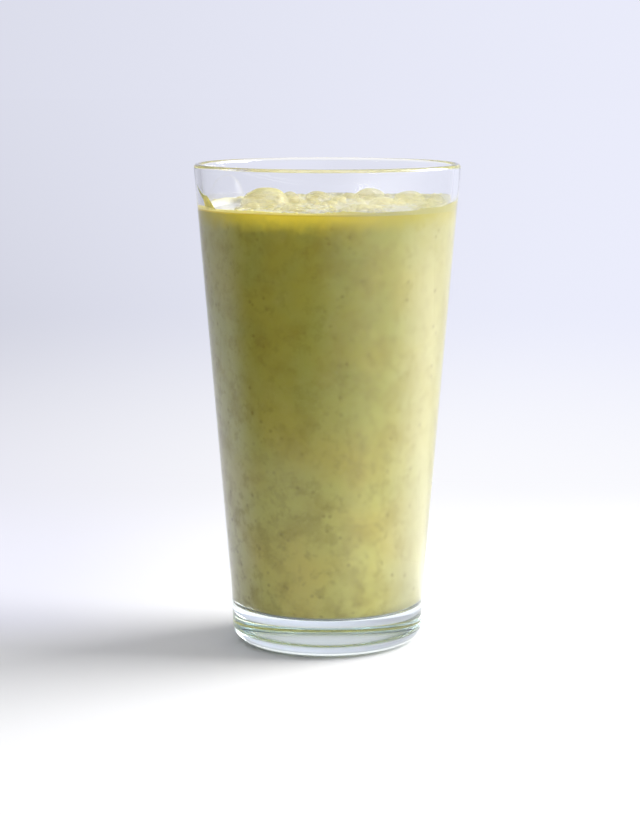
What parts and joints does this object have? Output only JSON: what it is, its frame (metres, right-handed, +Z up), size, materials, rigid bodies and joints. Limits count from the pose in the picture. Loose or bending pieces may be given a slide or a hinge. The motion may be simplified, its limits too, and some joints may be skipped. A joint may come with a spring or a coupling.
{
  "type": "glass of smoothie",
  "caption": "Tall tapered clear glass tumbler with a thick base, filled with opaque green smoothie under a bubbly pale froth, with a smear on the wall above it.",
  "frame": {"origin": "centre of the foot, on the surface that the glass stands on", "axes": "+Z up along the axis of the glass, -Y towards the front that the picture shows, +X to the right"},
  "size_m": [0.0888, 0.0888, 0.1617],
  "materials": {
    "clear_glass": "polished clear soda-lime glass",
    "smoothie": "opaque yellow-green liquid with fine specks",
    "froth": "wet pale foam with clear bubbles",
    "smoothie_film": "thin wet green film"
  },
  "bodies": {
    "root": {"tumbler": "clear_glass", "smoothie": "smoothie", "froth": "froth", "wall_smear": "smoothie_film"}
  },
  "joints": []
}
